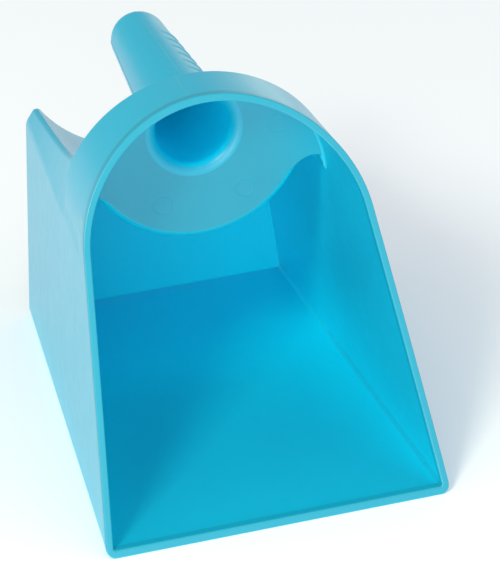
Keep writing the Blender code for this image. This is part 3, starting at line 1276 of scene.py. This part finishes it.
@dataclass
class Handle:
    """The hollow tapered handle, its bell mouth in the plate, and its rounded end.

    Attributes:
        shop: Where the pieces are made.
        seat: Radius of the hole in the plate that it fills.
        root_radius: Outer radius where it leaves the plate.
        taper: Radius lost towards the rear.
        mouth_radius: Radius of its bell mouth, on the plate's front face.
        mouth_fillet: Rounding of the bell mouth.
        root_fillet: Rounding where it leaves the plate's rear face.
        dome_start: Depth at which the rounded end begins.
        dome_length: Length of the rounded end.
        roundness: Exponent of the end's profile; 2 is an ellipse.
        teeth: How many low grip ridges cross the handle's right flank.
        first_tooth: Depth of the one nearest the plate.
        tooth_pitch: Distance from one to the next.
        tooth_height: How far each stands up at its middle.
        tooth_width: Its width along the handle.
        tooth_arc: Where each starts and ends round the axis, in degrees from straight down.
        sides: How many facets the handle has round its axis.
    """

    shop: Workshop
    seat: float
    root_radius: float = 19.0 * MM
    taper: float = 0.0533
    mouth_radius: float = 21.7 * MM
    mouth_fillet: float = 4.6 * MM
    root_fillet: float = 3.0 * MM
    dome_start: float = 220.5 * MM
    dome_length: float = 12.1 * MM
    roundness: float = 2.6
    teeth: int = 8
    first_tooth: float = 127.0 * MM
    tooth_pitch: float = 10.0 * MM
    tooth_height: float = 0.55 * MM
    tooth_width: float = 4.0 * MM
    tooth_arc: tuple[float, float] = (84.0, 158.0)
    sides: int = 128

    def radius(self, y: float) -> float:
        """Outer radius at a depth."""
        return self.root_radius - self.taper * (y - self.shop.form.hood_rear)

    def grip(self) -> bmesh.types.BMesh:
        """The tapered tube and its bell mouth.

        Returns:
            The tube's mesh.
        """
        form = self.shop.form
        front, rear = form.hood_rear - form.wall, form.hood_rear
        profile = [(front, self.seat)]
        for turn in quarter(10):
            y = front + self.mouth_fillet * (1.0 - math.cos(turn))
            profile.append((y, self.mouth_radius - self.mouth_fillet * math.sin(turn)))
        bore_end = self.radius(self.dome_start) - form.wall
        start = profile[-1]
        profile += [
            (mix(start[0], self.dome_start, k), mix(start[1], bore_end, k)) for k in steps(12)[1:]
        ]
        foot = rear + self.root_fillet
        profile += [(y, self.radius(y)) for y in (mix(self.dome_start, foot, k) for k in steps(12))]
        for turn in quarter()[1:]:
            y = foot - self.root_fillet * math.sin(turn)
            profile.append((y, self.radius(foot) + self.root_fillet * (1.0 - math.cos(turn))))
        profile.append((rear, self.seat))
        return self.shop.turned(profile, self.sides)

    def dome(self, radius: float, length: float) -> list[tuple[float, float]]:
        """A rounded end's profile, from its edge to the axis.

        Args:
            radius: Radius where it begins.
            length: Its length along the axis.

        Returns:
            Depth and radius of each point.
        """
        power = 2 / self.roundness
        points = []
        for share in steps(22):
            turn = share * math.pi / 2
            y = self.dome_start + length * math.sin(turn) ** power
            points.append((y, radius * max(0.0, math.cos(turn)) ** power))
        points[-1] = (self.dome_start + length, 0.0)
        return points

    def end(self) -> bmesh.types.BMesh:
        """The rounded end.

        Returns:
            The end's mesh.
        """
        form = self.shop.form
        radius = self.radius(self.dome_start)
        outer = self.dome(radius, self.dome_length)
        inner = self.dome(radius - form.wall, self.dome_length - form.wall)
        return self.shop.turned(outer + inner[::-1], self.sides)

    def flank(self, angle: float, count: int = 60) -> list[tuple[Vector, Vector]]:
        """Points and normals along the handle at an angle round it, and over its end.

        Args:
            angle: Angle round the axis, from straight down.
            count: Steps along the tapered part.

        Returns:
            Each point with the surface's normal.
        """
        form = self.shop.form
        foot = form.hood_rear + self.root_fillet
        depths = [mix(foot, self.dome_start, share) for share in steps(count)]
        profile = [(y, self.radius(y)) for y in depths]
        profile += self.dome(self.radius(self.dome_start), self.dome_length)[1:-1]
        line = []
        for k, (y, r) in enumerate(profile):
            (y0, r0), (y1, r1) = profile[max(0, k - 1)], profile[min(len(profile) - 1, k + 1)]
            out = form.about_axis(angle, 1.0) - form.about_axis(angle, 0.0)
            normal = ((y1 - y0) * out + Vector((0.0, r0 - r1, 0.0))).normalized()
            line.append((form.about_axis(angle, r, y), normal))
        return line

    def build(self) -> list[bpy.types.Object]:
        """Make the grip, its end, and the fine parting lines along its flanks.

        Returns:
            The pieces.
        """
        make = self.shop.piece
        pieces = [
            make("handle_grip", self.grip(), MouldFace.HANDLE, ["handle_grip"]),
            make("handle_end", self.end(), MouldFace.HANDLE, ["handle_end"]),
        ]
        lines = (("left", -math.pi / 2, 0.20), ("right", math.pi / 2, 0.20), ("top", math.pi, 0.12))
        for name, angle, height in lines:
            rise = height * MM
            ridge = self.shop.ridge_along(self.flank(angle), 0.8 * MM, lambda share: rise)
            pieces.append(make(f"{name}_parting_line", ridge, MouldFace.HANDLE))
        for number in range(self.teeth):
            tooth = self.tooth(self.first_tooth + number * self.tooth_pitch)
            pieces.append(make(f"grip_tooth_{number + 1}", tooth, MouldFace.HANDLE))
        return pieces

    def tooth(self, y: float) -> bmesh.types.BMesh:
        """A low curved grip ridge that fades out at both ends, on the right of the top.

        Args:
            y: Depth at which it crosses the handle.

        Returns:
            The ridge's mesh.
        """
        form = self.shop.form
        path = []
        for share in steps(24):
            angle = math.radians(mix(*self.tooth_arc, share))
            out = form.about_axis(angle, 1.0) - form.about_axis(angle, 0.0)
            normal = (out + Vector((0.0, self.taper, 0.0))).normalized()
            path.append((form.about_axis(angle, self.radius(y), y), normal))
        height = self.tooth_height
        return self.shop.ridge_along(
            path, self.tooth_width, lambda share: height * math.sin(math.pi * share) ** 0.6
        )


# ---------------------------------------------------------------- mould witness marks


@dataclass
class EjectorMarks:
    """The faint rings that the ejector pins leave on the plate's front face.

    Attributes:
        shop: Where the pieces are made.
        circle: Radius about the handle's axis on which the pins stand.
        pin: Radius of a pin.
        width: Width of a ring's ridge.
        height: Height of it.
        degrees: Where the pins stand round the axis, from straight down.
    """

    shop: Workshop
    circle: float = 38.0 * MM
    pin: float = 4.3 * MM
    width: float = 0.55 * MM
    height: float = 0.10 * MM
    degrees: tuple[float, ...] = (-27.0, 33.0, 85.0, -87.0)

    def build(self) -> list[bpy.types.Object]:
        """Make one low ring for each pin.

        Returns:
            The rings.
        """
        form = self.shop.form
        face = form.hood_rear - form.wall
        pieces = []
        for number, angle in enumerate(self.degrees, 1):
            centre = form.about_axis(math.radians(angle), self.circle, face)
            path = []
            for k in range(40):
                turn = 2 * math.pi * k / 40
                path.append((centre + self.pin * heading(turn), Vector((0.0, -1.0, 0.0))))
            ring = self.shop.ridge_along(path, self.width, lambda share: self.height, looped=True)
            pieces.append(self.shop.piece(f"ejector_mark_{number}", ring, MouldFace.SHADED_FRONT))
        return pieces


# ---------------------------------------------------------------- studio


@dataclass(frozen=True)
class SoftLight:
    """A rectangular soft light aimed at the scoop.

    Attributes:
        name: The light's name.
        place: Where it stands, in metres.
        aim: What it points at.
        size: Width and height.
        watts: Its power.
        colour: Its colour, as an sRGB hex code.
    """

    name: str
    place: tuple[float, float, float]
    aim: tuple[float, float, float]
    size: tuple[float, float]
    watts: float
    colour: str = "ffffe7"

    def build(self) -> bpy.types.Object:
        """Make the light.

        Returns:
            The light's object.
        """
        data = bpy.data.lights.new(self.name, "AREA")
        data.shape = "RECTANGLE"
        data.size, data.size_y = self.size
        data.energy = self.watts
        data.color = srgb(self.colour)[:3]
        lamp = bpy.data.objects.new(self.name, data)
        bpy.context.scene.collection.objects.link(lamp)
        lamp.location = self.place
        direction = Vector(self.aim) - Vector(self.place)
        lamp.rotation_euler = direction.to_track_quat("-Z", "Y").to_euler()
        return lamp


@dataclass
class Studio:
    """A plain pale floor, soft light from the left, and the camera.

    Attributes:
        sky_front: Strength of the even white light from the front.
        sky_rear: Its strength from behind, which keeps upward faces from washing out.
        floor_half: Half the floor's width.
        gamma: Gamma of the picture.
        lens: The camera's focal length, in millimetres.
        camera_place: Where the camera stands, in metres.
        camera_turn: How it is turned, in degrees.
        lights: The soft lights.
    """

    sky_front: float = 1.04
    sky_rear: float = 0.36
    floor_half: float = 6.0
    gamma: float = 1.12
    lens: float = 198.451
    camera_place: tuple[float, float, float] = (-0.26518, -1.26972, 0.73845)
    camera_turn: tuple[float, float, float] = (62.166, 3.878, -14.724)
    lights: tuple[SoftLight, ...] = (
        SoftLight("key_softbox", (-0.92, -1.02, 1.22), (0.0, 0.0, 0.05), (0.42, 0.42), 16.0),
        SoftLight(
            "front_fill", (-0.45, -1.50, 0.20), (0.0, 0.0, 0.05), (0.6, 0.3), 7.0, "f0f4ec"
        ),
        SoftLight("rear_card", (0.95, 1.50, 0.18), (0.0, 0.0, 0.10), (1.2, 0.3), 1.7),
    )

    def floor(self) -> bpy.types.Object:
        """The pale floor, just under the scoop.

        Returns:
            The floor's object.
        """
        data = bmesh.new()
        half, low = self.floor_half, -0.05 * MM
        corners = ((-half, -half), (half, -half), (half, half), (-half, half))
        data.faces.new([data.verts.new((x, y, low)) for x, y in corners])
        mesh = bpy.data.meshes.new("studio_floor")
        data.to_mesh(mesh)
        data.free()
        item = bpy.data.objects.new("studio_floor", mesh)
        bpy.context.scene.collection.objects.link(item)
        material = bpy.data.materials.new("matt_paper_sweep")
        material.use_nodes = True
        shader = material.node_tree.nodes["Principled BSDF"]
        shader.inputs["Base Color"].default_value = srgb("fcfcff")
        shader.inputs["Roughness"].default_value = 0.95
        shader.inputs["Specular IOR Level"].default_value = 0.0
        mesh.materials.append(material)
        item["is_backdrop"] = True
        return item

    def camera(self) -> bpy.types.Object:
        """The camera, a long lens above and a little left of the mouth.

        Returns:
            The camera's object.
        """
        data = bpy.data.cameras.new("camera")
        data.sensor_width = 36.0
        data.lens = self.lens
        data.clip_start, data.clip_end = 0.05, 60.0
        item = bpy.data.objects.new("camera", data)
        bpy.context.scene.collection.objects.link(item)
        item.location = self.camera_place
        item.rotation_euler = [math.radians(angle) for angle in self.camera_turn]
        bpy.context.scene.camera = item
        return item

    def build(self) -> None:
        """Set up the floor, the sky, the lights and the camera."""
        scene = bpy.context.scene
        scene.view_settings.view_transform = "Standard"
        scene.view_settings.gamma = self.gamma
        world = bpy.data.worlds.new("even_white_sky")
        scene.world = world
        world.use_nodes = True
        tree = world.node_tree
        background = tree.nodes["Background"]
        background.inputs["Color"].default_value = srgb("f4fbff")
        place = add_node(tree, "ShaderNodeTexCoord").outputs["Generated"]
        split = add_node(tree, "ShaderNodeSeparateXYZ", {"Vector": place})
        fall = add_node(
            tree,
            "ShaderNodeMapRange",
            {
                "Value": split.outputs["Y"],
                "From Min": -0.3,
                "From Max": 0.7,
                "To Min": self.sky_front,
                "To Max": self.sky_rear,
            },
        )
        tree.links.new(fall.outputs["Result"], background.inputs["Strength"])
        self.floor()
        for light in self.lights:
            light.build()
        self.camera()


# ---------------------------------------------------------------- all of it


def finishes() -> dict[MouldFace, bpy.types.Material]:
    """The polypropylene's finish for each mould face.

    Returns:
        Each mould face with its material.
    """
    # Each finish paints its hollows a brighter blue, a painted glow in place of light inside the
    # resin.
    shell = Polypropylene(
        face=MouldFace.SHELL,
        open_hex="0da7c8",
        painted_glow_hex="00e0ff",
        roughness=0.30,
        grain_mm=0.9,
        grain_depth_mm=0.010,
        wave_mm=26.0,
        wave_depth_mm=0.10,
    )
    # The bead and plate take darker copies of the shell's colours: painted shade.
    front = replace(shell, face=MouldFace.SHADED_FRONT, open_hex="0d92ae", painted_glow_hex="08b9d7")
    handle = Polypropylene(
        face=MouldFace.HANDLE,
        open_hex="0da7c8",
        painted_glow_hex="00dcff",
        roughness=0.36,
        grain_mm=0.9,
        grain_depth_mm=0.012,
        wave_mm=18.0,
        wave_depth_mm=0.12,
        hollow_reach_mm=60.0,
    )
    return {finish.face: finish.build() for finish in (shell, front, handle)}


def main() -> None:
    """Build the scoop's pieces in order, then the studio."""
    shop = Workshop(ScoopForm.from_frame(), finishes())
    pan = Pan(shop)
    hood = Hood(shop)
    groups = (
        Mouth(shop),
        pan,
        hood,
        KnuckleRoom(shop, pan),
        Handle(shop, hood.seat),
        EjectorMarks(shop),
    )
    for group in groups:
        for item in group.build():
            log.info("%s made by %s", item.name, type(group).__name__)
    Studio().build()


if __name__ == "__main__":
    main()
